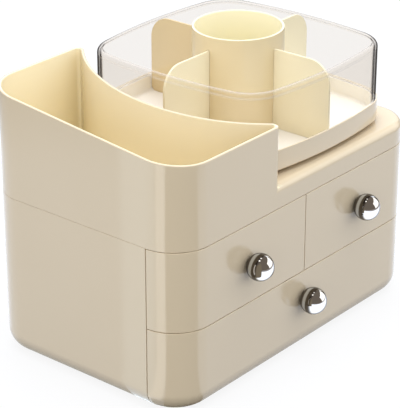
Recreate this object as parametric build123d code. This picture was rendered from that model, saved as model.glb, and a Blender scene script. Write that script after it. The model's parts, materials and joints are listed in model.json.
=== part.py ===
from build123d import *
import os
from math import atan2, degrees, sqrt

# Rotating makeup organizer. A low cabinet with rounded corners holds one wide and two narrow drawers.
# Its moulded top cover has an open bin at the left. At the right a ball-bearing turntable carries a
# tray with a clear guard, a brush cup and four dividers.
# Millimetres. +X is right, the drawer fronts face -Y, +Z is up, and the origin is the middle of the base.

# cabinet
cabinet_width = 300.0
cabinet_depth = 196.0
cabinet_height = 135.1  # base to the joint with the top cover
corner_radius = 32.7  # corners of the plan
base_rounding = 16.4  # outside, where the walls turn into the base
cabinet_wall = 2.6
shelf_thickness = 2.4
ledge_width = 3.5  # ledges under the shelf, one on each side wall
ledge_height = 3.0
ledge_end_gap = 6.0  # from a ledge's ends to the fronts and to the corner roundings
partition_thickness = 2.4

# drawers
front_reach = 32.2  # how far the fronts wrap round the corners, from the front face
lower_front_height = 69.6  # middle of the seam between the lower and upper fronts
seam = 0.8  # between neighbouring fronts
front_floor_gap = 0.8  # the lower front's lower edge above the surface that the cabinet stands on
front_edge_rounding = 0.5
tray_wall = 2.0
tray_side_gap = 0.8
tray_slide_gap = 0.4  # under each drawer
tray_top_gap = 2.0  # over each drawer, to the ledges or the cover's lip
tray_inner_corner = 3.0  # upper drawers, corners beside the partition
tray_foot_rounding = 3.0  # upper drawers
shelf_front_gap = 0.8  # from the shelf and partition to the fronts' inner faces

# knobs
knob_diameter = 21.6
knob_standoff = 9.6  # ball centre in front of the face
upper_knob_x = 68.7  # to each side of the middle
lower_knob_z = 46.3
knob_screw_diameter = 3.8
knob_screw_depth = 7.0  # into the ball
knob_screw_head_diameter = 7.6
knob_screw_head_height = 2.4
knob_screw_clearance = 0.2  # round the shank

# top cover
deck_height = 18.7  # from the joint to the deck's top face
deck_edge_rounding = 6.0
deck_thickness = 2.4
cover_lip_height = 6.0
cover_lip_thickness = 1.6
cover_lip_gap = 0.3
cover_foot_height = 3.0  # thicker foot that carries the lip

# bin
bin_floor_height = 5.9  # inside floor above the joint
bin_wall = 2.4
bin_rim_front_height = 66.9  # rim above the joint, at the front face
bin_rim_rise = 19.6  # from the front face to the back face
bin_carousel_gap = 8.8  # from the bin's curved wall to the corners of the turning tray
bin_tip_radius = 4.8  # outside, where the arc meets the front and the back
bin_tip_inner_radius = 2.6
bin_rim_rounding = 0.8

# turntable
turntable_x = 43.0
turntable_y = 4.1
deck_gap = 3.3  # deck to the tray's underside
race_outer_radius = 47.0
race_width = 16.0
race_thickness = 2.8
race_gap = 3.2  # between the two races
race_seat_gap = 0.3  # lower race in its well
upper_race_margin = 1.0  # how much smaller the upper race is than the lower one
ball_diameter = 6.0
ball_count = 20
ball_groove_gap = 0.1
cage_width = 8.0
cage_thickness = 1.6
cage_pocket_gap = 0.15
race_foot_height = 2.8  # ring under the tray, on the upper race
race_screw_count = 4
race_screw_diameter = 2.6
race_screw_length = 6.4
race_screw_head_diameter = 4.6
race_screw_head_height = 1.4
race_screw_hole_gap = 0.1
race_screw_head_gap = 0.2  # from the heads to the upper race's edge and to the cage

# pivot
bolt_diameter = 5.0
bolt_head_diameter = 9.0
bolt_head_height = 3.3
bolt_end = 1.0  # below the nut
bolt_gap = 0.1
sleeve_diameter = 9.0
sleeve_running_gap = 0.08
pivot_end_gap = 0.3  # tray to the upper washer
upper_washer_diameter = 16.0
lower_washer_diameter = 14.0
washer_thickness = 1.2
nut_across_flats = 8.0
nut_thickness = 4.0
hub_diameter = 19.0
hub_floor_gap = 1.0  # hub to the well's floor

# carousel tray
tray_half_size = 94.4  # axis to the middle of a side
tray_side_radius = 392.6
tray_corner_radius = 34.0
tray_height = 17.1
tray_floor = 2.5
tray_foot_edge = 1.5  # rounding of the lower outer edge
tray_top_edge = 0.5
tray_inner_rounding = 2.5
guard_inset = 1.4  # guard's outside, from the tray's outside
guard_fit_gap = 0.1
guard_seat_depth = 1.2  # how deep the guard sits below the tray's top edge

# clear guard
guard_top_height = 47.5  # above the tray's top edge
guard_wall = 2.0
guard_shoulder = 4.2  # rounding between the wall and the rim
guard_opening_inset = 5.9  # opening in the top, from the tray's outside

# brush cup
cup_diameter = 73.6
cup_wall = 2.0
cup_height = 77.6  # above the tray's floor
cup_floor_height = 9.0  # inside, above the tray's floor
cup_floor_thickness = 2.0
cup_rim_rounding = 0.8
cup_spigot_height = 4.0  # ring on the tray inside the cup's foot
cup_spigot_wall = 2.0
cup_fit_gap = 0.2

# dividers
divider_count = 4
divider_thickness = 2.0
divider_height = 66.2  # above the tray's floor
divider_corner = 19.0  # upper outer corner
divider_gap = 0.3  # to the guard and to the bottom of the groove
divider_groove_depth = 0.8  # grooves in the cup's outside that hold the dividers' inner edges
divider_groove_gap = 0.15  # on each side of a divider and above it

# places worked out from the sizes above
front_y = -cabinet_depth / 2
back_y = cabinet_depth / 2
front_edge_y = front_y + front_reach  # middle of the upright seam between fronts and cabinet
before_seam_y = front_edge_y - seam / 2
behind_seam_y = front_edge_y + seam / 2
tray_inset = cabinet_wall + tray_side_gap
tray_bottom_z = cabinet_wall + tray_slide_gap
shelf_bottom_z = lower_front_height - shelf_thickness / 2
shelf_top_z = lower_front_height + shelf_thickness / 2
lower_tray_top_z = shelf_bottom_z - ledge_height - tray_top_gap
upper_tray_bottom_z = shelf_top_z + tray_slide_gap
upper_tray_top_z = cabinet_height - cover_lip_height - tray_top_gap
upper_knob_z = (lower_front_height + cabinet_height) / 2
upper_drawer_x = partition_thickness / 2 + tray_side_gap
deck_z = cabinet_height + deck_height
bin_floor_z = cabinet_height + bin_floor_height
bin_rim_front_z = cabinet_height + bin_rim_front_height
tray_z = deck_z + deck_gap
tray_floor_z = tray_z + tray_floor
tray_top_z = tray_z + tray_height
upper_race_top_z = tray_z - race_foot_height
upper_race_z = upper_race_top_z - race_thickness
ball_z = upper_race_z - race_gap / 2
well_floor_z = upper_race_z - race_gap - race_thickness
well_under_z = well_floor_z - deck_thickness
well_radius = race_outer_radius + race_seat_gap
upper_race_radius = race_outer_radius - upper_race_margin
race_inner_radius = race_outer_radius - race_width
race_screw_radius = upper_race_radius - race_screw_head_gap - race_screw_head_diameter / 2
cage_outer_radius = race_screw_radius - race_screw_head_diameter / 2 - race_screw_head_gap
ball_pitch_radius = cage_outer_radius - cage_width / 2
side_centre = tray_side_radius - tray_half_size  # from the axis back to the centre of a side's arc
arc_reach = tray_side_radius - tray_corner_radius
corner_centre = (sqrt(2 * arc_reach**2 - side_centre**2) - side_centre) / 2  # along X and along Y
tray_reach = corner_centre * sqrt(2) + tray_corner_radius
bin_arc_radius = tray_reach + bin_carousel_gap  # face towards the turntable, about its axis
guard_z = tray_top_z - guard_seat_depth
guard_top_z = tray_top_z + guard_top_height
cup_radius = cup_diameter / 2
cup_top_z = tray_floor_z + cup_height
divider_top_z = tray_floor_z + divider_height
divider_inner_x = cup_radius - divider_groove_depth + divider_gap  # from the axis
divider_reach = tray_half_size - guard_inset - guard_wall - divider_gap
on_axis = Pos(turntable_x, turntable_y, 0)
above_all = cup_top_z + cabinet_height  # a height that every cut passes


def outline(inset):
    """Plan of the cabinet, drawn in from its outside face."""
    return RectangleRounded(
        cabinet_width - 2 * inset, cabinet_depth - 2 * inset, corner_radius - inset
    )


def prism(face, bottom, top):
    """Upright solid of a plan face between two heights."""
    return extrude(Pos(0, 0, bottom) * face, top - bottom)


def lower_edges(solid):
    return solid.edges().group_by(Axis.Z)[0]


def upper_edges(solid):
    return solid.edges().group_by(Axis.Z)[-1]


def block(inset, bottom, top, rounding):
    """Upright solid of the cabinet's plan whose lower edge is rounded."""
    solid = prism(outline(inset), bottom, top)
    return fillet(lower_edges(solid), rounding)


def slab(x_low, x_high, y_low, y_high, z_low, z_high):
    """Box between its lowest and highest corner."""
    size = Box(x_high - x_low, y_high - y_low, z_high - z_low, align=(Align.MIN,) * 3)
    return Pos(x_low, y_low, z_low) * size


def ahead_of(y, bottom, top):
    """Space in front of a depth, between two heights."""
    return slab(-cabinet_width, cabinet_width, -cabinet_depth, y, bottom, top)


def disc(radius, bottom, top):
    """Round solid on the origin's Z axis."""
    return prism(Circle(radius), bottom, top)


def ring(outer, inner, bottom, top):
    return disc(outer, bottom, top) - disc(inner, bottom - 1, top + 1)


def around(count, radius):
    """Places spaced evenly round the origin's Z axis, each turned to face outwards."""
    return [Rot(0, 0, 360 * i / count) * Pos(radius, 0, 0) for i in range(count)]


def squircle(inset):
    """Square plan with bowed sides and large corners, drawn in from the carousel tray's outside."""
    side = tray_side_radius - inset
    corner = tray_corner_radius - inset
    side_angle = degrees(atan2(corner_centre, corner_centre + side_centre))
    corner_angle = 90 - 2 * side_angle
    edges = []
    for quarter in range(4):
        turn = Rot(0, 0, 90 * quarter)
        edges.append(turn * CenterArc((-side_centre, 0), side, -side_angle, 2 * side_angle))
        edges.append(turn * CenterArc((corner_centre, corner_centre), corner, side_angle, corner_angle))
    return make_face(Curve() + edges)


# ---- cabinet ----
def make_cabinet_shell():
    shell = block(0, 0, cabinet_height, base_rounding)
    shell -= block(cabinet_wall, cabinet_wall, above_all, base_rounding - cabinet_wall)
    tongue = prism(outline(base_rounding + seam), 0, cabinet_wall)
    shell -= ahead_of(behind_seam_y, -1, above_all) - tongue
    ledge_front_y = front_edge_y + ledge_end_gap
    ledge_back_y = back_y - corner_radius - ledge_end_gap
    inner_x = cabinet_width / 2 - cabinet_wall
    for side in (-1, 1):
        outer_x = side * inner_x
        edge_x = side * (inner_x - ledge_width)
        x_low, x_high = min(outer_x, edge_x), max(outer_x, edge_x)
        ledge_z = shelf_bottom_z - ledge_height
        shell += slab(x_low, x_high, ledge_front_y, ledge_back_y, ledge_z, shelf_bottom_z)
    return shell


def make_middle_shelf():
    behind = prism(outline(cabinet_wall), shelf_bottom_z, shelf_top_z)
    behind -= ahead_of(behind_seam_y, -1, above_all)
    ahead = prism(outline(tray_inset + shelf_front_gap), shelf_bottom_z, shelf_top_z)
    return behind + ahead


def make_centre_partition():
    half = partition_thickness / 2
    partition_front_y = front_y + tray_inset + shelf_front_gap
    partition_back_y = back_y - cabinet_wall
    return slab(-half, half, partition_front_y, partition_back_y, shelf_top_z, well_under_z)


# ---- top cover with the bin ----
def bin_plan(inset, tip_radius):
    """Plan of the bin: the cabinet's outline cut by the arc that clears the turntable."""
    arc = Pos(turntable_x, turntable_y) * Circle(bin_arc_radius + inset)
    left_half = Pos(turntable_x - cabinet_width / 2, 0) * Rectangle(cabinet_width, cabinet_depth)
    plan = (outline(inset) & left_half) - arc
    tips = plan.vertices().sort_by(Axis.X)[-2:]
    return fillet(tips, tip_radius)


def make_top_cover():
    cover = prism(outline(0), cabinet_height, deck_z)
    cover = fillet(upper_edges(cover), deck_edge_rounding)
    hollow = prism(outline(cabinet_wall), cabinet_height - 1, deck_z - deck_thickness)
    hollow = fillet(upper_edges(hollow), deck_edge_rounding - cabinet_wall)
    cover -= hollow

    lip_outer = cabinet_wall + cover_lip_gap
    lip_inner = outline(lip_outer + cover_lip_thickness)
    foot = prism(outline(0) - lip_inner, cabinet_height, cabinet_height + cover_foot_height)
    lip = prism(outline(lip_outer) - lip_inner, cabinet_height - cover_lip_height, cabinet_height)
    notch = partition_thickness / 2 + cover_lip_gap
    notch_top_z = cabinet_height + cover_foot_height
    slot = slab(-notch, notch, 0, back_y - cabinet_wall, 0, notch_top_z)
    cover += (foot + lip) - ahead_of(behind_seam_y, 0, notch_top_z) - slot

    cover += on_axis * disc(well_radius + deck_thickness, well_under_z, deck_z - deck_thickness / 2)
    cover -= on_axis * disc(well_radius, well_floor_z, above_all)
    cover -= on_axis * disc(bolt_diameter / 2 + bolt_gap, 0, above_all)

    bin_under_z = bin_floor_z - bin_wall
    cover += prism(bin_plan(0, bin_tip_radius), bin_under_z, above_all)
    cover -= prism(bin_plan(bin_wall, bin_tip_inner_radius), bin_floor_z, above_all)
    rim = Plane(
        origin=(0, front_y, bin_rim_front_z),
        x_dir=(1, 0, 0),
        z_dir=(0, -bin_rim_rise, cabinet_depth),
    )
    cover = split(cover, rim, keep=Keep.BOTTOM)
    rim_face = cover.faces().filter_by(rim)[0]
    return fillet(rim_face.edges(), bin_rim_rounding)


# ---- drawers ----
def upper_plan(side, inset, corner):
    """Plan of an upper drawer on one side of the partition; side is -1 or 1."""
    limit = upper_drawer_x + inset
    half = slab(limit, cabinet_width, -cabinet_depth, cabinet_depth, -1, 1)
    if side < 0:
        half = slab(-cabinet_width, -limit, -cabinet_depth, cabinet_depth, -1, 1)
    plan = (outline(tray_inset + inset) & half).face()
    corners = plan.vertices().sort_by(Axis.X)
    inner_corners = corners[:2] if side > 0 else corners[-2:]
    return fillet(inner_corners, corner)


def make_lower_tray():
    rounding = base_rounding - tray_inset
    outside = block(tray_inset, tray_bottom_z, lower_tray_top_z, rounding)
    inside_inset = tray_inset + tray_wall
    inside_z = tray_bottom_z + tray_wall
    inside = block(inside_inset, inside_z, above_all, rounding - tray_wall)
    return outside, outside - inside


def make_upper_tray(side):
    outside = prism(upper_plan(side, 0, tray_inner_corner), upper_tray_bottom_z, upper_tray_top_z)
    outside = fillet(lower_edges(outside), tray_foot_rounding)
    inside_plan = upper_plan(side, tray_wall, tray_inner_corner - tray_wall)
    inside = prism(inside_plan, upper_tray_bottom_z + tray_wall, above_all)
    inside = fillet(lower_edges(inside), tray_foot_rounding - tray_wall)
    return outside, outside - inside


def fillet_front_top(front):
    """Rounds the upper outer edge of a drawer front."""
    edges = upper_edges(front).filter_by(lambda edge: edge.center().Y < front_edge_y - seam)
    return fillet(edges, front_edge_rounding)


def make_lower_front(tray_outside):
    top_z = lower_front_height - seam / 2
    front = block(0, 0, top_z, base_rounding) & ahead_of(before_seam_y, front_floor_gap, top_z)
    front = fillet_front_top(front)
    hollow = block(tray_inset, tray_inset, above_all, base_rounding - tray_inset)
    front -= hollow
    front -= tray_outside
    return front - prism(outline(base_rounding), -1, tray_inset + 1)


def make_upper_front(side, tray_outside):
    bottom_z = lower_front_height + seam / 2
    top_z = cabinet_height - seam / 2
    x_low, x_high = (seam / 2, cabinet_width) if side > 0 else (-cabinet_width, -seam / 2)
    front = prism(outline(0), bottom_z, top_z)
    front &= slab(x_low, x_high, -cabinet_depth, before_seam_y, bottom_z, top_z)
    front = fillet_front_top(front)
    return front - prism(outline(tray_inset), 0, above_all)


def make_knob(x, z):
    ball = Pos(x, front_y - knob_standoff, z) * Sphere(knob_diameter / 2)
    ball -= slab(-cabinet_width, cabinet_width, front_y, 0, 0, cabinet_height)
    hole = Cylinder(knob_screw_diameter / 2 + knob_screw_clearance, 2 * knob_screw_depth)
    return ball - Pos(x, front_y, z) * Rot(90, 0, 0) * hole


def make_knob_screw(x, z):
    inside_y = front_y + tray_inset + tray_wall
    length = inside_y - front_y + knob_screw_depth - 1
    toward_front = Plane(origin=(x, inside_y, z), z_dir=(0, -1, 0))
    shank = Cylinder(knob_screw_diameter / 2, length, align=(Align.CENTER, Align.CENTER, Align.MIN))
    head = Cylinder(
        knob_screw_head_diameter / 2, knob_screw_head_height, align=(Align.CENTER, Align.CENTER, Align.MAX)
    )
    return toward_front * (shank + head)


def screw_hole(x, z):
    """Clearance hole for a knob's screw through a front and its tray."""
    hole = Cylinder(knob_screw_diameter / 2 + knob_screw_clearance, cabinet_depth / 2)
    return Pos(x, front_y, z) * Rot(90, 0, 0) * hole


def make_drawer(name, tray, front, x, z):
    return {
        f"{name}_drawer_tray": tray - screw_hole(x, z),
        f"{name}_drawer_front": front - screw_hole(x, z),
        f"{name}_knob": make_knob(x, z),
        f"{name}_knob_screw": make_knob_screw(x, z),
    }


# ---- turntable ----
def ball_track():
    """Ring-shaped space that the balls run in."""
    return Pos(0, 0, ball_z) * Torus(ball_pitch_radius, ball_diameter / 2 + ball_groove_gap)


def make_lower_race():
    race = ring(race_outer_radius, race_inner_radius, well_floor_z, well_floor_z + race_thickness)
    return on_axis * (race - ball_track())


def make_upper_race():
    race = ring(upper_race_radius, race_inner_radius, upper_race_z, upper_race_top_z)
    race -= ball_track()
    hole = disc(race_screw_diameter / 2 + race_screw_hole_gap, upper_race_z - 1, upper_race_top_z + 1)
    for place in around(race_screw_count, race_screw_radius):
        race -= place * hole
    return on_axis * race


def make_ball_cage():
    inner = ball_pitch_radius - cage_width / 2
    half = cage_thickness / 2
    cage = ring(cage_outer_radius, inner, ball_z - half, ball_z + half)
    pocket = disc(ball_diameter / 2 + cage_pocket_gap, ball_z - 2 * half, ball_z + 2 * half)
    for place in around(ball_count, ball_pitch_radius):
        cage -= place * pocket
    return on_axis * cage


def make_balls():
    ball = Pos(0, 0, ball_z) * Sphere(ball_diameter / 2)
    return Compound([on_axis * place * ball for place in around(ball_count, ball_pitch_radius)])


def make_race_screws():
    shank_top_z = upper_race_z + race_screw_length
    shank = disc(race_screw_diameter / 2, upper_race_z, shank_top_z)
    head = disc(race_screw_head_diameter / 2, upper_race_z - race_screw_head_height, upper_race_z)
    screw = shank + head
    return Compound([on_axis * place * screw for place in around(race_screw_count, race_screw_radius)])


def make_pivot():
    """Bolt, sleeve, washers and nut that hold the tray down on the bearing."""
    sleeve_top_z = tray_floor_z + pivot_end_gap
    head_z = sleeve_top_z + washer_thickness
    nut_top_z = well_under_z - washer_thickness
    nut_z = nut_top_z - nut_thickness
    hole = bolt_diameter / 2 + bolt_gap
    bolt = disc(bolt_diameter / 2, nut_z - bolt_end, head_z)
    bolt += disc(bolt_head_diameter / 2, head_z, head_z + bolt_head_height)
    nut_plan = RegularPolygon(nut_across_flats / 2, 6, major_radius=False) - Circle(hole)
    return {
        "pivot_bolt": on_axis * bolt,
        "pivot_sleeve": on_axis * ring(sleeve_diameter / 2, hole, well_floor_z, sleeve_top_z),
        "pivot_upper_washer": on_axis * ring(upper_washer_diameter / 2, hole, sleeve_top_z, head_z),
        "pivot_lower_washer": on_axis * ring(lower_washer_diameter / 2, hole, nut_top_z, well_under_z),
        "pivot_nut": on_axis * prism(nut_plan, nut_z, nut_top_z),
    }


# ---- carousel ----
def make_carousel_tray():
    tray = prism(squircle(0), tray_z, tray_top_z)
    tray = fillet(lower_edges(tray), tray_foot_edge)
    tray = fillet(upper_edges(tray), tray_top_edge)
    inside = prism(squircle(guard_inset + guard_wall), tray_floor_z, tray_top_z + 1)
    tray -= fillet(lower_edges(inside), tray_inner_rounding)
    tray -= prism(squircle(guard_inset - guard_fit_gap), guard_z, tray_top_z + 1)
    tray += ring(upper_race_radius, race_inner_radius, upper_race_top_z, tray_z)
    tray += disc(hub_diameter / 2, well_floor_z + hub_floor_gap, tray_z)
    spigot_outer = cup_radius - cup_wall - cup_fit_gap
    spigot_top_z = tray_floor_z + cup_spigot_height
    tray += ring(spigot_outer, spigot_outer - cup_spigot_wall, tray_floor_z, spigot_top_z)
    tray -= disc(sleeve_diameter / 2 + sleeve_running_gap, well_floor_z, above_all)
    screw_top_z = upper_race_z + race_screw_length
    hole_radius = race_screw_diameter / 2 + race_screw_hole_gap
    hole = disc(hole_radius, upper_race_z, screw_top_z + race_screw_hole_gap)
    for place in around(race_screw_count, race_screw_radius):
        tray -= place * hole
    return on_axis * tray


def make_clear_guard():
    guard = prism(squircle(guard_inset), guard_z, guard_top_z)
    guard = fillet(upper_edges(guard), guard_shoulder)
    hollow = prism(squircle(guard_inset + guard_wall), guard_z - 1, guard_top_z - guard_wall)
    guard -= fillet(upper_edges(hollow), guard_shoulder - guard_wall)
    return on_axis * (guard - prism(squircle(guard_opening_inset), guard_z, above_all))


def make_brush_cup():
    cup = disc(cup_radius, tray_floor_z, cup_top_z)
    inner = cup_radius - cup_wall
    floor_z = tray_floor_z + cup_floor_height
    cup -= disc(inner, floor_z, above_all)
    cup -= disc(inner, 0, floor_z - cup_floor_thickness)
    cup = fillet(upper_edges(cup), cup_rim_rounding)
    groove_x = cup_radius - divider_groove_depth
    groove_half = divider_thickness / 2 + divider_groove_gap
    groove_top_z = divider_top_z + divider_groove_gap
    groove = slab(groove_x, 2 * cup_radius, -groove_half, groove_half, 0, groove_top_z)
    for turn in around(divider_count, 0):
        cup -= turn * groove
    return on_axis * cup


def make_divider(turn):
    corners = [
        (divider_inner_x, 0),
        (divider_reach - tray_inner_rounding, 0),
        (divider_reach, tray_inner_rounding),
        (divider_reach, divider_height),
        (divider_inner_x, divider_height),
    ]
    plate = make_face(Polyline(*corners, close=True))
    plate = fillet(plate.vertices().sort_by(lambda v: v.X + v.Y)[-1], divider_corner)
    upright = Pos(0, 0, tray_floor_z) * (Plane.XZ * plate)
    return on_axis * turn * extrude(upright, divider_thickness / 2, both=True)


def make_pieces():
    lower_outside, lower_tray = make_lower_tray()
    left_outside, left_tray = make_upper_tray(-1)
    right_outside, right_tray = make_upper_tray(1)
    pieces = {
        "cabinet_shell": make_cabinet_shell(),
        "middle_shelf": make_middle_shelf(),
        "centre_partition": make_centre_partition(),
        "top_cover": make_top_cover(),
        "lower_race": make_lower_race(),
        "ball_cage": make_ball_cage(),
        "bearing_balls": make_balls(),
        "upper_race": make_upper_race(),
        "race_screws": make_race_screws(),
        "carousel_tray": make_carousel_tray(),
        "clear_guard": make_clear_guard(),
        "brush_cup": make_brush_cup(),
    }
    pieces |= make_drawer("lower", lower_tray, make_lower_front(lower_outside), 0, lower_knob_z)
    pieces |= make_drawer(
        "upper_left", left_tray, make_upper_front(-1, left_outside), -upper_knob_x, upper_knob_z
    )
    pieces |= make_drawer(
        "upper_right", right_tray, make_upper_front(1, right_outside), upper_knob_x, upper_knob_z
    )
    pieces |= make_pivot()
    sides = ("right", "back", "left", "front")
    for side, turn in zip(sides, around(divider_count, 0)):
        pieces[f"divider_{side}"] = make_divider(turn)
    return pieces


os.makedirs("parts", exist_ok=True)
for name, piece in make_pieces().items():
    export_step(piece, f"parts/{name}.step")
    print(f"{name}: {len(piece.solids())} solids, {piece.volume / 1000:.2f} cm3")
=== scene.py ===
import json
from math import atan2, cos, radians, sin, sqrt

import bpy
from mathutils import Matrix, Vector


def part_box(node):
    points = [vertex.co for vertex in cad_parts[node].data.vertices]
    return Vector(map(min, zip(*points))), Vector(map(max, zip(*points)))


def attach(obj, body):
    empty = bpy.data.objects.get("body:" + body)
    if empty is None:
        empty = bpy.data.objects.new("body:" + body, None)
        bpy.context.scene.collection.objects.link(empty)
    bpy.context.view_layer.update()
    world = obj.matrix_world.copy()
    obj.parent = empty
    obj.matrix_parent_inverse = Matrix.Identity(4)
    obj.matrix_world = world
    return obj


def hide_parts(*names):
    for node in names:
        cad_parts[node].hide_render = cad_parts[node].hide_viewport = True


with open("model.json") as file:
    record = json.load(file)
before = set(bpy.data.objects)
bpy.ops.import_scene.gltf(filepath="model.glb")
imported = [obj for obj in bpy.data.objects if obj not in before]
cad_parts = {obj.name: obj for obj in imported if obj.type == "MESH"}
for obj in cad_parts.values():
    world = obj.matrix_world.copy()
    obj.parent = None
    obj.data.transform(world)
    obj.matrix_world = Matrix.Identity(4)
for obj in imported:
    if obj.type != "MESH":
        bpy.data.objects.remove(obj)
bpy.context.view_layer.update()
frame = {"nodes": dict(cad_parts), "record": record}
nodes = frame["nodes"]
print("frame loaded:", len(nodes), "nodes")


# the photograph's own camera, as fitted to the object's edges in it
cameraSet = {
    "place": (-1.06397, -0.87502, 0.73752),
    "right": (0.638526, -0.769600, 0.000256),
    "up": (0.324073, 0.269181, 0.906928),
    "forward": (0.698041, 0.579014, -0.421285),
    "lens": 166.852,
    "sensor": 36,  # along the photograph's long side
    "clip": (0.05, 50),
}


def addCamera(setup):
    data = bpy.data.cameras.new("viewCamera")
    data.lens = setup["lens"]
    data.sensor_width = setup["sensor"]
    data.clip_start, data.clip_end = setup["clip"]
    camera = bpy.data.objects.new("viewCamera", data)
    bpy.context.scene.collection.objects.link(camera)
    back = -Vector(setup["forward"])
    axes = Matrix((setup["right"], setup["up"], back)).transposed()
    camera.matrix_world = Matrix.Translation(setup["place"]) @ axes.to_4x4()
    bpy.context.scene.camera = camera


addCamera(cameraSet)
print("camera placed")


class Wire:
    # one socket of a material, on which sums and products can be written
    def __init__(self, tree, socket):
        self.tree = tree
        self.socket = socket

    def math(self, operation, *others):
        return shaderNode(self.tree, "ShaderNodeMath", {"operation": operation}, self, *others)[0]

    def __add__(self, other):
        return self.math("ADD", other)

    def __mul__(self, other):
        return self.math("MULTIPLY", other)

    def __sub__(self, other):
        return self.math("SUBTRACT", other)

    def __rsub__(self, other):
        return shaderNode(self.tree, "ShaderNodeMath", {"operation": "SUBTRACT"}, other, self)[0]

    __radd__ = __add__
    __rmul__ = __mul__

    def rise(self, start, width):
        # 0 up to the start, 1 past the width, and straight between them
        return ((self - start) * (1 / width)).math("MAXIMUM", 0.0).math("MINIMUM", 1.0)

    def into(self, socket):
        self.tree.links.new(self.socket, socket)


def shaderNode(tree, kind, settings, *values, **named):
    # values go to the sockets in their order, or by name, and None leaves a socket as it is
    node = tree.nodes.new(kind)
    for key, value in settings.items():
        if key == "stops":
            ramp = node.color_ramp
            while len(ramp.elements) < len(value):
                ramp.elements.new(0.5)
            for element, (place, colour) in zip(ramp.elements, value):
                element.position = place
                element.color = (*colour, 1)
        else:
            setattr(node, key, value)
    sockets = list(zip(node.inputs, values))
    sockets += [(node.inputs[name], value) for name, value in named.items()]
    for socket, value in sockets:
        if isinstance(value, Wire):
            value.into(socket)
        elif value is not None:
            socket.default_value = value
    return [Wire(tree, output) for output in node.outputs]


def newMaterial(name):
    material = bpy.data.materials.new(name)
    material.use_nodes = True
    tree = material.node_tree
    shader = tree.nodes["Principled BSDF"]
    return material, tree, shader


def linear(red, green, blue):
    # an sRGB colour, 0 to 255, as the linear colour that a shader takes
    shades = [level / 255 for level in (red, green, blue)]
    return tuple(((c + 0.055) / 1.055) ** 2.4 if c > 0.04045 else c / 12.92 for c in shades)


def objectPlace(tree):
    return shaderNode(tree, "ShaderNodeTexCoord", {})[3]


def turnedAway(tree):
    # 0 where a face looks at the camera and 1 where it is seen along its length
    return shaderNode(tree, "ShaderNodeLayerWeight", {}, Blend=0.5)[1]


def noise(tree, place, scale, detail=2.0):
    return shaderNode(tree, "ShaderNodeTexNoise", {}, Vector=place, Scale=scale, Detail=detail)[0]


def mixColour(tree, factor, first, second):
    # a Mix node takes its colours at the sockets 6 and 7, and gives one at the output 2
    ends = [end if isinstance(end, Wire) else (*end, 1) for end in (first, second)]
    return shaderNode(tree, "ShaderNodeMix", {"data_type": "RGBA"}, factor, *[None] * 5, *ends)[2]


def distanceFrom(axis, x, y):
    sideX = x - axis[0]
    sideY = y - axis[1]
    return (sideX * sideX + sideY * sideY).math("SQRT")


def halfWidth(node):
    low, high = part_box(node)
    return (high.x - low.x) / 2


# the turntable's axis and the cabinet's outline, seen from above
trayLow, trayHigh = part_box("carousel_tray")
turntableAxis = ((trayLow + trayHigh) / 2).xy
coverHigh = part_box("top_cover")[1]
planSet = {"halfWidth": coverHigh.x, "halfDepth": coverHigh.y, "corner": 0.0327}


def pastOutline(x, y, setup):
    # how far a place lies outside the cabinet's plan, near its edge
    corner = setup["corner"]
    alongX = (x.math("ABSOLUTE") - (setup["halfWidth"] - corner)).math("MAXIMUM", 0.0)
    alongY = (y.math("ABSOLUTE") - (setup["halfDepth"] - corner)).math("MAXIMUM", 0.0)
    return (alongX * alongX + alongY * alongY).math("SQRT") - corner


creamSet = {
    "colour": linear(226, 207, 173),
    "colourDeep": linear(223, 204, 169),
    "cloudScale": 14.0,
    "roughness": 0.15,
    "unevenness": 0.06,  # how much the roughness varies with the clouds
    "ior": 1.56,
    "grain": 900.0,
    "bump": 0.004,
    "bumpDepth": 0.0002,
}
creamTones = {  # the pieces and faces whose cream isn't the cabinet's; several of them carry painted light and painted shade
    # painted light: the tray's inside, much lighter than the same plastic outside
    "trayInsideLit": (linear(253, 249, 239), linear(252, 247, 235)),
    "dividerPlastic": (linear(243, 231, 195), linear(242, 229, 190)),
    # painted shade: the divider behind the cup, deeper than the other three
    "dividerShaded": (linear(222, 199, 153), linear(221, 197, 149)),
    # painted shade and painted light on one cup: its outside darker, its inside lighter
    "cupOutsideShaded": (linear(230, 211, 168), linear(229, 209, 163)),
    "cupInsideLit": (linear(252, 244, 210), linear(251, 242, 205)),
}
binPaintedLightSet = planSet | {
    "axis": turntableAxis,
    "arc": 0.122,  # the bin's curved wall, about the turntable's axis
    "depth": 0.0012,  # how far inside the wall's outer face the painted warm light begins
    "floor": 0.1402,
    # painted bounce light: the bin's inside, lighter and warmer than the same plastic outside
    "colour": linear(250, 237, 200),
    "colourDeep": linear(249, 235, 195),
    # painted shade on the bin's curved wall
    "arcDepth": 0.0035,
    "arcColour": linear(228, 213, 178),
}


def binInside(tree, place, setup):
    # two shares, which place the painted light and shade: inside the bin, from within its walls and
    # above its floor, and on its curved wall
    x, y, z = shaderNode(tree, "ShaderNodeSeparateXYZ", {}, place)
    fromAxis = distanceFrom(setup["axis"], x, y)
    withinWalls = pastOutline(x, y, setup).math("LESS_THAN", -setup["depth"])
    withinArc = fromAxis.math("GREATER_THAN", setup["arc"] + setup["depth"])
    onArc = fromAxis.math("LESS_THAN", setup["arc"] + setup["arcDepth"])
    aboveFloor = z.math("GREATER_THAN", setup["floor"])
    atLeft = x.math("LESS_THAN", 0.0)
    return withinWalls * withinArc * aboveFloor * atLeft, onArc


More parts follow.
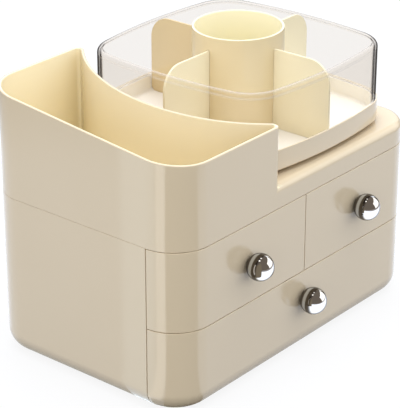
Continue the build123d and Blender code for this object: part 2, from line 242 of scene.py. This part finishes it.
def creamPlastic(name, setup, inside=None):
    # a glossy cream, faintly cloudy and grained, and where that is given, painted bounce light inside
    # the bin, warmer and lighter, with painted shade on its curved wall
    material, tree, shader = newMaterial(name)
    place = objectPlace(tree)
    cloud = noise(tree, place, setup["cloudScale"], detail=3.0)
    grain = noise(tree, place, setup["grain"])
    colour = mixColour(tree, cloud, setup["colour"], setup["colourDeep"])
    if inside:
        warm = mixColour(tree, cloud, inside["colour"], inside["colourDeep"])
        within, onArc = binInside(tree, place, inside)
        warm = mixColour(tree, onArc, warm, inside["arcColour"])
        colour = mixColour(tree, within, colour, warm)
    colour.into(shader.inputs["Base Color"])
    smoothest = setup["roughness"] - setup["unevenness"] / 2
    (cloud * setup["unevenness"] + smoothest).into(shader.inputs["Roughness"])
    depth, strength = setup["bumpDepth"], setup["bump"]
    bump = shaderNode(tree, "ShaderNodeBump", {}, Height=grain, Distance=depth, Strength=strength)[0]
    bump.into(shader.inputs["Normal"])
    shader.inputs["IOR"].default_value = setup["ior"]
    return material


chromeSet = {"colour": (0.88, 0.85, 0.80), "roughness": 0.03, "smudge": 0.02, "smudgeScale": 120.0}
knobPaintedReflectionSet = {
    "darkFrom": (0.30, 0.37),  # shares of the ball's depth, from its front, where the painted dark neck begins
    "ringFrom": (0.50, 0.54),
    "ringTo": (0.64, 0.68),
    # painted shade and dark reflection on the neck
    "dark": (0.13, 0.115, 0.10),
    # a painted lighter ring of reflection
    "ring": (0.64, 0.68, 0.74),
    "edge": (0.07, 0.066, 0.063),  # a painted dark reflection towards a ball's outline, by how far the surface is turned away
    "edgeFrom": 0.57,
    "edgeWidth": 0.13,
}


def chromePlate(name, setup, neck=None):
    # painted reflections in the plating's colour on a knob: painted shade and dark reflection on its
    # neck, one painted lighter ring round it, and a painted dark outline
    material, tree, shader = newMaterial(name)
    place = objectPlace(tree)
    smudge = noise(tree, place, setup["smudgeScale"])
    if neck:
        low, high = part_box("lower_knob")  # the three knobs lie equally deep
        depth = shaderNode(tree, "ShaderNodeSeparateXYZ", {}, place)[1]
        share = depth.rise(low.y, high.z - low.z)
        stops = (
            (0.0, setup["colour"]),
            (neck["darkFrom"][0], setup["colour"]),
            (neck["darkFrom"][1], neck["dark"]),
            (neck["ringFrom"][0], neck["dark"]),
            (neck["ringFrom"][1], neck["ring"]),
            (neck["ringTo"][0], neck["ring"]),
            (neck["ringTo"][1], neck["dark"]),
        )
        ramp = shaderNode(tree, "ShaderNodeValToRGB", {"stops": stops}, share)[0]
        edge = turnedAway(tree).rise(neck["edgeFrom"], neck["edgeWidth"])
        mixColour(tree, edge, ramp, neck["edge"]).into(shader.inputs["Base Color"])
    else:
        shader.inputs["Base Color"].default_value = (*setup["colour"], 1)
    shader.inputs["Metallic"].default_value = 1.0
    (smudge * setup["smudge"] + setup["roughness"]).into(shader.inputs["Roughness"])
    return material


clearSet = {
    "tint": (0.94, 0.925, 0.905),  # what one face of the wall lets through
    # how far a face is turned away, and how much of the wall's shaded colour then shows: a faint veil
    # face on, the painted dark outline where it is turned far
    "shareStops": ((0.56, 0.015), (0.65, 0.12), (0.755, 0.8), (1.0, 0.95)),
    # the wall's faint colour face on, which also makes the painted highlights at its rim and shoulder
    "pale": (0.80, 0.74, 0.66),
    "dark": (0.045, 0.038, 0.034),  # a painted dark outline at the corners, where the wall is seen along its length, for the dark surroundings it shows there
    "bowedSideShade": (0.34, 0.32, 0.30),  # a lighter painted dark outline at the bowed sides, likewise
    "turnFrom": 0.60,
    "turnWidth": 0.11,
    "axis": turntableAxis,
    "top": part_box("clear_guard")[1].z,
    "sideReach": 0.097,  # from the turntable's axis
    "cornerWidth": 0.012,
    "sideShare": 0.4,  # of the corners' share
    # painted highlights: a paler line along the rim and another at the shoulder
    "rimShare": 0.32,
    "rimHeight": 0.0014,
    "bandShare": 0.24,  # the painted highlight line where the wall turns into the shoulder
    "bandDrop": 0.004,  # below the top
    "bandHalf": 0.0011,
    "roughness": 0.06,
    "haze": 0.02,
    "hazeScale": 40.0,
    "ior": 1.49,
    "gloss": 0.0,
}


def clearPlastic(name, setup):
    # a thin clear wall: see-through face on, with a painted dark outline where it is seen along its
    # length and painted highlights at its rim and shoulder
    material, tree, shader = newMaterial(name)
    place = objectPlace(tree)
    haze = noise(tree, place, setup["hazeScale"])
    x, y, height = shaderNode(tree, "ShaderNodeSeparateXYZ", {}, place)
    corner = distanceFrom(setup["axis"], x, y).rise(setup["sideReach"], setup["cornerWidth"])
    turned = turnedAway(tree)
    stops = [(at, (share,) * 3) for at, share in setup["shareStops"]]
    edge = shaderNode(tree, "ShaderNodeValToRGB", {"stops": stops}, turned)[0]
    edge = edge * (corner * (1 - setup["sideShare"]) + setup["sideShare"])
    rim = height.rise(setup["top"] - setup["rimHeight"], setup["rimHeight"]) * setup["rimShare"]
    offBand = (height - (setup["top"] - setup["bandDrop"])).math("ABSOLUTE") * (1 / setup["bandHalf"])
    band = (1 - offBand).math("MAXIMUM", 0.0) * setup["bandShare"]
    share = edge.math("MAXIMUM", rim).math("MAXIMUM", band)
    # the painted dark outline, lighter at the bowed sides and darkest at the corners
    dark = mixColour(tree, corner, setup["bowedSideShade"], setup["dark"])
    colour = mixColour(tree, turned.rise(setup["turnFrom"], setup["turnWidth"]), setup["pale"], dark)
    colour.into(shader.inputs["Base Color"])
    shader.inputs["IOR"].default_value = setup["ior"]
    shader.inputs["Specular IOR Level"].default_value = setup["gloss"]
    (haze * setup["haze"] + setup["roughness"]).into(shader.inputs["Roughness"])
    passing = shaderNode(tree, "ShaderNodeBsdfTransparent", {}, (*setup["tint"], 1))[0]
    wall = Wire(tree, shader.outputs[0])
    surface = shaderNode(tree, "ShaderNodeMixShader", {}, share, passing, wall)[0]
    surface.into(tree.nodes["Material Output"].inputs["Surface"])
    return material


creamOutside = creamPlastic("creamOutside", creamSet)
creams = {
    name: creamPlastic(name, creamSet | {"colour": colour, "colourDeep": deep})
    for name, (colour, deep) in creamTones.items()
}
creamCover = creamPlastic("creamCover", creamSet, inside=binPaintedLightSet)
bearingSet = creamSet | {"colour": linear(226, 222, 214), "roughness": 0.5}
bearingWhite = creamPlastic("bearingWhite", bearingSet)
knobChrome = chromePlate("knobChrome", chromeSet, neck=knobPaintedReflectionSet)
steel = chromePlate("brightSteel", chromeSet | {"roughness": 0.22})
clear = clearPlastic("clearPlastic", clearSet)
bySlot = {
    "cream_plastic": creamOutside,
    "warm_plastic": creams["dividerPlastic"],
    "clear_plastic": clear,
    "bearing_plastic": bearingWhite,
    "chrome": knobChrome,
    "steel": steel,
}
for part in frame["record"]["subparts"]:
    mesh = nodes[part["node"]].data
    mesh.materials.clear()
    mesh.materials.append(bySlot[part["material_slot"]])
print("materials assigned")


def primitive(kind, name, **settings):
    bpy.ops.object.select_all(action="DESELECT")
    getattr(bpy.ops.mesh, f"primitive_{kind}_add")(**settings)
    piece = bpy.context.object
    piece.name = piece.data.name = name
    bpy.ops.object.transform_apply(location=True, rotation=True, scale=True)
    return piece


def blockPiece(name, low, high):
    middle = [(a + b) / 2 for a, b in zip(low, high)]
    size = [b - a for a, b in zip(low, high)]
    return primitive("cube", name, size=1, location=middle, scale=size)


def activate(piece):
    # the next operators act on this piece alone
    bpy.ops.object.select_all(action="DESELECT")
    piece.select_set(True)
    bpy.context.view_layer.objects.active = piece


def choose(piece, kind, test):
    # selects faces by their middle and normal, or edges by their two ends, and stays in edit mode
    activate(piece)
    bpy.ops.object.mode_set(mode="EDIT")
    bpy.ops.mesh.select_mode(type=kind)
    bpy.ops.mesh.select_all(action="DESELECT")
    bpy.ops.object.mode_set(mode="OBJECT")
    mesh = piece.data
    if kind == "FACE":
        for face in mesh.polygons:
            face.select = test(face.center, face.normal)
    else:
        for edge in mesh.edges:
            edge.select = test(*(mesh.vertices[i].co for i in edge.vertices))
    bpy.ops.object.mode_set(mode="EDIT")


samePlace = 0.00005  # places closer than this count as one


def near(first, second):
    return abs(first - second) < samePlace


def levelAt(z):
    return lambda a, b: near(a.z, z) and near(b.z, z)


def facing(axis, sign, place):
    # faces whose normal lies along an axis, at a place on that axis
    def test(middle, normal):
        return normal[axis] * sign > 0.999 and near(middle[axis], place)

    return test


def insideOf(axis, bottom, top):
    # faces of a vessel's inside: the walls that face its axis, and what faces up between two heights
    def test(middle, normal):
        outwards = (middle.xy - axis).dot(normal.xy)
        onFloor = normal.z > 0.5 and middle.z < top
        return middle.z > bottom and (outwards < -0.001 or onFloor)

    return test


def roundEdges(piece, test, radius, segments):
    choose(piece, "EDGE", test)
    bpy.ops.mesh.bevel(offset=radius, segments=segments, affect="EDGES", clamp_overlap=False)
    bpy.ops.object.mode_set(mode="OBJECT")


def sinkFace(piece, test, inset, depth):
    # insets a face and pushes it along Z
    choose(piece, "FACE", test)
    bpy.ops.mesh.inset(thickness=inset, use_even_offset=True)
    bpy.ops.mesh.extrude_region_move(TRANSFORM_OT_translate={"value": (0, 0, depth)})
    bpy.ops.object.mode_set(mode="OBJECT")


def deleteFaces(piece, test):
    choose(piece, "FACE", test)
    bpy.ops.mesh.delete(type="FACE")
    bpy.ops.object.mode_set(mode="OBJECT")


def cutAway(piece, place, normal):
    # removes what lies on the side that the normal points to, and closes the cut
    activate(piece)
    bpy.ops.object.mode_set(mode="EDIT")
    bpy.ops.mesh.select_all(action="SELECT")
    bpy.ops.mesh.bisect(plane_co=place, plane_no=normal, use_fill=True, clear_outer=True)
    bpy.ops.object.mode_set(mode="OBJECT")


def applyModifier(piece, kind, **settings):
    activate(piece)
    modifier = piece.modifiers.new(kind.title(), kind)
    for key, value in settings.items():
        setattr(modifier, key, value)
    bpy.ops.object.modifier_apply(modifier=modifier.name)


def cutWith(piece, cutter):
    applyModifier(piece, "BOOLEAN", object=cutter, operation="DIFFERENCE", solver="EXACT")
    bpy.data.objects.remove(cutter)


def joinInto(piece, others):
    activate(piece)
    for other in others:
        other.select_set(True)
    bpy.ops.object.join()


def finishPiece(piece, node, material, sharp=40, edge=0.0, second=None, where=None, clamp=True):
    # small rounding on every sharp edge, smooth shading, and the node that the piece stands for
    # hidden, with the piece riding on that node's body
    if edge:
        applyModifier(
            piece, "BEVEL", width=edge, segments=2, limit_method="ANGLE", angle_limit=radians(sharp),
            use_clamp_overlap=clamp,
        )
    activate(piece)
    bpy.ops.object.shade_smooth_by_angle(angle=radians(sharp))
    applyModifier(piece, "WEIGHTED_NORMAL", keep_sharp=True, weight=100)
    piece.data.materials.clear()
    piece.data.materials.append(material)
    if second:
        piece.data.materials.append(second)
        for face in piece.data.polygons:
            face.material_index = int(where(face.center, face.normal))
    part = next(p for p in frame["record"]["subparts"] if p["node"] == node)
    bodies = frame["record"]["behaviour"]["bodies"]
    body = next(name for name, members in bodies.items() if node in members)
    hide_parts(node)
    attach(piece, body)


def copyPiece(piece, name, turn):
    twin = piece.copy()
    twin.data = piece.data.copy()
    twin.name = twin.data.name = name
    bpy.context.scene.collection.objects.link(twin)
    twin.data.transform(turn)
    return twin


knobSet = {"screwHole": 0.0021, "screwDepth": 0.007}


def addKnob(name, setup):
    low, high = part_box(name)
    radius = halfWidth(name)
    centre = ((low.x + high.x) / 2, low.y + radius, (low.z + high.z) / 2)
    ball = primitive(
        "uv_sphere", name + "_ball", segments=64, ring_count=48, radius=radius, location=centre,
        rotation=(radians(90), 0, 0),
    )
    cutAway(ball, (0, high.y, 0), (0, 1, 0))
    choose(ball, "FACE", facing(1, 1, high.y))
    bpy.ops.mesh.inset(thickness=(high.y - low.y) / 2 - setup["screwHole"], use_even_offset=True)
    bpy.ops.mesh.extrude_region_move(TRANSFORM_OT_translate={"value": (0, -setup["screwDepth"], 0)})
    bpy.ops.object.mode_set(mode="OBJECT")
    finishPiece(ball, name, knobChrome, sharp=50)


for knob in ("lower_knob", "upper_left_knob", "upper_right_knob"):
    addKnob(knob, knobSet)
print("knobs made")


carouselSet = {
    "axis": turntableAxis,
    "halfSize": halfWidth("carousel_tray"),
    "sideRadius": 0.3926,
    "cornerRadius": 0.034,
    "sideSteps": 8,
    "cornerSteps": 24,
}
guardSet = {
    "inset": halfWidth("carousel_tray") - halfWidth("clear_guard"),
    "seatDepth": 0.0012,  # how deep the guard stands in the tray
    "seatGap": 0.0001,
    "wall": 0.002,
    "shoulder": 0.0042,
    "openingInset": 0.0059,
    "rounding": 0.0004,
}
traySet = {
    "height": 0.0171,
    "footRounding": 0.0015,
    "floor": 0.0025,
    "floorRounding": 0.0025,
    "hubRadius": 0.0095,
    "edge": 0.0004,
}


def carouselOutline(setup, inset):
    # a square with bowed sides and large corners, as points round the axis
    side = setup["sideRadius"] - inset
    corner = setup["cornerRadius"] - inset
    back = setup["sideRadius"] - setup["halfSize"]
    reach = side - corner
    centre = (sqrt(2 * reach**2 - back**2) - back) / 2
    sideAngle = atan2(centre, centre + back)
    cornerAngle = radians(90) - 2 * sideAngle
    points = []
    for quarter in range(4):
        turn = Matrix.Rotation(radians(90 * quarter), 2)
        for step in range(setup["sideSteps"]):
            angle = sideAngle * (2 * step / setup["sideSteps"] - 1)
            points.append(turn @ Vector((side * cos(angle) - back, side * sin(angle))))
        for step in range(setup["cornerSteps"]):
            angle = sideAngle + cornerAngle * step / setup["cornerSteps"]
            points.append(turn @ Vector((centre + corner * cos(angle), centre + corner * sin(angle))))
    return [point + setup["axis"] for point in points]


def carouselPlate(name, setup, inset, z):
    outline = carouselOutline(setup, inset)
    plate = primitive("circle", name, vertices=len(outline), radius=1, fill_type="NGON")
    for vertex, point in zip(plate.data.vertices, outline):
        vertex.co = (*point, z)
    return plate


def raisePlate(piece, height):
    choose(piece, "FACE", lambda middle, normal: True)
    bpy.ops.mesh.extrude_region_move(TRANSFORM_OT_translate={"value": (0, 0, height)})
    bpy.ops.mesh.select_all(action="SELECT")
    bpy.ops.mesh.normals_make_consistent(inside=False)
    bpy.ops.object.mode_set(mode="OBJECT")


def addTray(setup, carousel, guard):
    low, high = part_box("carousel_tray")
    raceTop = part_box("upper_race")[1].z
    bottom = high.z - setup["height"]
    floor = bottom + setup["floor"]
    seat = high.z - guard["seatDepth"]
    tray = carouselPlate("carouselTray", carousel, 0, bottom)
    raisePlate(tray, high.z - bottom)
    roundEdges(tray, levelAt(bottom), setup["footRounding"], segments=4)
    sinkFace(tray, facing(2, 1, high.z), guard["inset"] - guard["seatGap"], seat - high.z)
    sinkFace(tray, facing(2, 1, seat), guard["wall"] + guard["seatGap"], floor - seat)
    roundEdges(tray, levelAt(floor), setup["floorRounding"], segments=5)
    foot = primitive(
        "cylinder", "raceFoot", vertices=96, radius=halfWidth("upper_race"), depth=bottom - raceTop,
        location=(*carousel["axis"], (bottom + raceTop) / 2),
    )
    hub = primitive(
        "cylinder", "hub", vertices=48, radius=setup["hubRadius"], depth=bottom - low.z,
        location=(*carousel["axis"], (bottom + low.z) / 2),
    )
    joinInto(tray, [foot, hub])
    # the tray's inside faces take the painted light
    finishPiece(
        tray, "carousel_tray", creamOutside, sharp=40, edge=setup["edge"], second=creams["trayInsideLit"],
        where=insideOf(carousel["axis"], bottom, (seat + high.z) / 2),
    )


def addGuard(setup, carousel):
    low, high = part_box("clear_guard")
    shell = carouselPlate("clearGuard", carousel, setup["inset"], low.z)
    raisePlate(shell, high.z - low.z)
    roundEdges(shell, levelAt(high.z), setup["shoulder"], segments=10)
    choose(shell, "FACE", facing(2, 1, high.z))
    lipWidth = setup["openingInset"] - setup["inset"] - setup["shoulder"]
    bpy.ops.mesh.inset(thickness=lipWidth, use_even_offset=True)
    bpy.ops.mesh.delete(type="FACE")
    bpy.ops.object.mode_set(mode="OBJECT")
    deleteFaces(shell, facing(2, -1, low.z))
    applyModifier(shell, "SOLIDIFY", thickness=setup["wall"], offset=-1, use_even_offset=True)
    finishPiece(shell, "clear_guard", clear, sharp=40, edge=setup["rounding"])
    shell.visible_shadow = shell.visible_diffuse = False  # light passes through the clear wall


addTray(traySet, carouselSet, guardSet)
addGuard(guardSet, carouselSet)
print("tray and guard made")


cupSet = {
    "wall": 0.002,
    "floorHeight": 0.009,
    "floor": 0.002,
    "rimRounding": 0.0008,
    "sides": 160,
    "grooveDepth": 0.0008,  # the dividers' inner edges stand in these
    "grooveHalf": 0.00115,
    "grooveGap": 0.00015,
    "grooveDrop": 0.01,  # how far the cutter reaches below the cup
}


def addCup(setup, carousel):
    low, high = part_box("brush_cup")
    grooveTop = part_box("divider_right")[1].z + setup["grooveGap"]
    radius = halfWidth("brush_cup")
    axis = carousel["axis"]
    cup = primitive(
        "cylinder", "brushCup", vertices=setup["sides"], radius=radius, depth=high.z - low.z,
        location=(*axis, (low.z + high.z) / 2), end_fill_type="NGON",
    )
    inside = low.z + setup["floorHeight"]
    sinkFace(cup, facing(2, 1, high.z), setup["wall"], inside - high.z)
    sinkFace(cup, facing(2, -1, low.z), setup["wall"], inside - setup["floor"] - low.z)
    roundEdges(cup, levelAt(high.z), setup["rimRounding"], segments=3)
    half = setup["grooveHalf"]
    for quarter in range(4):
        groove = blockPiece(
            "groove", (radius - setup["grooveDepth"], -half, low.z - setup["grooveDrop"]),
            (2 * radius, half, grooveTop),
        )
        turn = Matrix.Rotation(radians(90 * quarter), 4, "Z")
        groove.data.transform(Matrix.Translation((*axis, 0)) @ turn)
        cutWith(cup, groove)
    # the cup's outside takes the painted shade and its inside the painted light
    finishPiece(
        cup, "brush_cup", creams["cupOutsideShaded"], sharp=35, second=creams["cupInsideLit"],
        where=insideOf(axis, inside - setup["floor"] / 2, high.z + setup["wall"]),
    )


addCup(cupSet, carouselSet)


dividerSet = {"corner": 0.019, "footCut": 0.0025, "rounding": 0.0006}


def addDividers(setup, carousel):
    low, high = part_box("divider_right")
    plate = blockPiece("dividerPlate", low, high)

    def outerEdge(z):
        return lambda a, b: all(near(end.x, high.x) and near(end.z, z) for end in (a, b))

    roundEdges(plate, outerEdge(high.z), setup["corner"], segments=20)
    roundEdges(plate, outerEdge(low.z), setup["footCut"], segments=1)
    centre = Matrix.Translation((*carousel["axis"], 0))
    for turns, side in enumerate(("right", "back", "left", "front")):
        turn = centre @ Matrix.Rotation(radians(90 * turns), 4, "Z") @ centre.inverted()
        ending = "panel" if turns else "face"
        panel = copyPiece(plate, f"divider_{side}_{ending}", turn)
        # the back divider takes the painted shade
        plastic = creams["dividerShaded" if side == "back" else "dividerPlastic"]
        finishPiece(panel, f"divider_{side}", plastic, sharp=35, edge=setup["rounding"])
    bpy.data.objects.remove(plate)


addDividers(dividerSet, carouselSet)
print("cup and dividers made")


frontEdgeSet = {"width": 0.0004, "clamp": True, "plastic": creamOutside}
softEdgeSet = {
    "cabinet_shell": frontEdgeSet | {"width": 0.0005},
    "top_cover": {"width": 0.0005, "clamp": False, "plastic": creamCover},
    "lower_drawer_front": frontEdgeSet,
    "upper_left_drawer_front": frontEdgeSet,
    "upper_right_drawer_front": frontEdgeSet,
}
mergeSet = {"doubles": 0.000002, "flat": 0.2}  # metres, and degrees between faces that count as one


def softenEdges(node, setup, merge):
    # the moulding itself, with its sharp edges rounded so that seams and rims catch the light
    mesh = nodes[node].data.copy()
    piece = bpy.data.objects.new(node + "_moulding", mesh)
    mesh.name = piece.name
    bpy.context.scene.collection.objects.link(piece)
    activate(piece)
    bpy.ops.mesh.customdata_custom_splitnormals_clear()
    bpy.ops.object.mode_set(mode="EDIT")
    bpy.ops.mesh.select_all(action="SELECT")
    bpy.ops.mesh.remove_doubles(threshold=merge["doubles"])
    bpy.ops.mesh.dissolve_limited(angle_limit=radians(merge["flat"]))
    bpy.ops.object.mode_set(mode="OBJECT")
    finishPiece(piece, node, setup["plastic"], sharp=35, edge=setup["width"], clamp=setup["clamp"])


for node, setup in softEdgeSet.items():
    softenEdges(node, setup, mergeSet)
print("mouldings made")


def seenRays(tree):
    # two shares: 1 for rays from the camera or through the clear plastic, and 1 for rays in gloss
    path = shaderNode(tree, "ShaderNodeLightPath", {})
    cameraRay, glossyRay, transmissionRay = path[0], path[3], path[6]
    return cameraRay.math("MAXIMUM", transmissionRay), glossyRay


airSet = {
    "fill": (1.04, 1.08, 1.21),  # light that falls on the object from all round
    "room": linear(106, 98, 91),  # what the gloss and the chrome reflect where no softbox stands
    "seen": (1, 1, 1),
}


def addAir(setup):
    world = bpy.data.worlds.new("studioAir")
    bpy.context.scene.world = world
    world.use_nodes = True
    tree = world.node_tree
    background = tree.nodes["Background"]
    seen, glossy = seenRays(tree)
    colour = mixColour(tree, glossy, setup["fill"], setup["room"])
    colour = mixColour(tree, seen, colour, setup["seen"])
    colour.into(background.inputs["Color"])
    background.inputs["Strength"].default_value = 1.0


floorSet = {
    "size": 6.0,
    "glow": (0.87, 0.87, 0.87),  # what the camera sees beside the object's shadow
    "white": 0.11,  # how much light it throws back at the object
    "roughness": 0.9,
    "sheen": (1.10, 1.19, 1.36),  # the floor in gloss
    "contactShadow": (0.44, 0.40, 0.32),  # painted contact shadow in the floor's gloss, where the base meets it
    "contactFrom": -0.014,  # past the cabinet's outline
    "contactWidth": 0.030,
    "farFrom": 0.36,  # past the outline too: from here on the gloss shows the dim room
    "farWidth": 0.22,
}


def addFloor(setup, air):
    bpy.ops.object.select_all(action="DESELECT")
    bpy.ops.mesh.primitive_plane_add(size=setup["size"], location=(0, 0, 0))
    floor = bpy.context.object
    floor.name = "studioFloor"
    material, tree, shader = newMaterial("paperWhite")
    shader.inputs["Base Color"].default_value = (setup["white"],) * 3 + (1,)
    shader.inputs["Roughness"].default_value = setup["roughness"]
    shader.inputs["Specular IOR Level"].default_value = 0.0
    seen, glossy = seenRays(tree)
    x, y = shaderNode(tree, "ShaderNodeSeparateXYZ", {}, objectPlace(tree))[:2]
    distance = pastOutline(x, y, planSet)
    away = distance.rise(setup["contactFrom"], setup["contactWidth"])
    far = distance.rise(setup["farFrom"], setup["farWidth"])
    # the floor's gloss, with the painted contact shadow near the base
    sheen = mixColour(tree, away, setup["contactShadow"], setup["sheen"])
    sheen = mixColour(tree, far, sheen, air["room"])
    glow = mixColour(tree, glossy, mixColour(tree, seen, (0, 0, 0), setup["glow"]), sheen)
    glow.into(shader.inputs["Emission Color"])
    shader.inputs["Emission Strength"].default_value = 1.0
    floor.data.materials.append(material)


plainBox = {"target": (0, 0, 0.1), "colour": (1, 1, 1), "reflected": False}
coolBox = plainBox | {"colour": (0.96, 1.0, 1.04)}
softboxSet = {  # the two sparks are small and show as bright spots in the gloss
    "topSoftbox": plainBox | {
        "place": (0.1, 0.0, 1.6), "size": (1.4, 1.2), "power": 10.0,
        "target": (0, 0, 0.15), "colour": (0.94, 1.0, 1.12),
    },
    "backSoftbox": coolBox | {
        "place": (1.5, 1.2, 1.0), "size": (1.6, 1.2), "power": 8.7, "target": (0, 0, 0.15),
    },
    "rightSoftbox": coolBox | {"place": (0.9, -1.7, 0.6), "size": (1.9, 1.5), "power": 3.5},
    "leftSoftbox": coolBox | {
        "place": (-1.7, 0.3, 0.5), "size": (1.0, 0.9), "power": 3.3, "reflected": True,
    },
    "cornerSoftbox": plainBox | {
        "place": (-0.75, -0.3, 0.35), "size": (0.4, 0.4), "power": 0.205,
        "target": (-0.15, 0, 0.15), "colour": (1.0, 0.93, 0.75),
    },
    "keySoftbox": plainBox | {"place": (-0.9, -1.3, 1.5), "size": (0.8, 0.8), "power": 0.71},
    "frontSpark": plainBox | {
        "place": (-0.38, -0.17, 1.45), "size": (0.26, 0.26), "power": 0.57, "reflected": True,
    },
    "backSpark": plainBox | {
        "place": (0.2, -0.02, 1.45), "size": (0.26, 0.26), "power": 0.48, "reflected": True,
    },
}


def addSoftbox(name, setup):
    data = bpy.data.lights.new(name, "AREA")
    data.shape = "RECTANGLE"
    data.size, data.size_y = setup["size"]
    data.energy = setup["power"]
    data.color = setup["colour"]
    lamp = bpy.data.objects.new(name, data)
    bpy.context.scene.collection.objects.link(lamp)
    aim = (Vector(setup["target"]) - Vector(setup["place"])).to_track_quat("-Z", "Y")
    lamp.matrix_world = Matrix.Translation(setup["place"]) @ aim.to_matrix().to_4x4()
    lamp.visible_camera = lamp.visible_transmission = False
    lamp.visible_glossy = setup["reflected"]


def glossOnly(card, glow):
    # a plain glowing card that shows in gloss and chrome and lights nothing
    for ray in ("camera", "diffuse", "shadow", "transmission"):
        setattr(card, "visible_" + ray, False)
    material, _, shader = newMaterial(card.name)
    shader.inputs["Base Color"].default_value = (0, 0, 0, 1)
    shader.inputs["Specular IOR Level"].default_value = 0.0
    shader.inputs["Emission Color"].default_value = (*glow, 1)
    shader.inputs["Emission Strength"].default_value = 1.0
    card.data.materials.append(material)


flagSet = {
    "middle": (planSet["corner"] - planSet["halfWidth"], planSet["corner"] - planSet["halfDepth"]),
    "radius": 0.093,
    "height": 0.19,
    "foot": 0.0005,
}
flags = {  # left and right are degrees from +X round the near corner's axis
    "darkFlag": flagSet | {"left": 201, "right": 273, "glow": (0.185, 0.155, 0.115)},
    "paleFlag": flagSet | {"left": 179, "right": 200, "foot": 0.012, "glow": (2.9, 2.9, 2.9)},
    "softFlag": flagSet | {"left": 141, "right": 178, "glow": (1.8, 2.0, 2.2)},
}
cards = {
    "backCard": {"place": (1.75, 1.45, 1.1), "size": (3.4, 1.7), "glow": (1.0, 1.06, 1.2)},
    "rightCard": {"place": (1.25, -0.95, 0.62), "size": (1.9, 1.2), "glow": (1.4, 1.4, 1.4)},
}


def addFlag(name, setup):
    # a bent card with a floor round the near corner, which shows only in that corner's gloss
    x, y = setup["middle"]
    card = primitive(
        "cylinder", name, vertices=120, radius=setup["radius"], depth=setup["height"],
        location=(x, y, setup["height"] / 2 + setup["foot"]), end_fill_type="TRIFAN",
    )

    def outside(middle, normal):
        turn = atan2(middle.y - y, middle.x - x) % radians(360)
        return normal.z > 0.9 or not radians(setup["left"]) < turn < radians(setup["right"])

    deleteFaces(card, outside)
    glossOnly(card, setup["glow"])


def addCard(name, setup):
    # a flat card that faces the object
    width, height = setup["size"]
    card = blockPiece(name, (-width / 2, -height / 2, 0), (width / 2, height / 2, 0.01))
    aim = (-Vector(setup["place"])).to_track_quat("-Z", "Y")
    card.data.transform(Matrix.Translation(setup["place"]) @ aim.to_matrix().to_4x4())
    glossOnly(card, setup["glow"])


addFloor(floorSet, airSet)
addAir(airSet)
for name, setup in flags.items():
    addFlag(name, setup)
for name, setup in cards.items():
    addCard(name, setup)
for name, setup in softboxSet.items():
    addSoftbox(name, setup)
bpy.context.scene.view_settings.view_transform = "Standard"
print("studio lit")
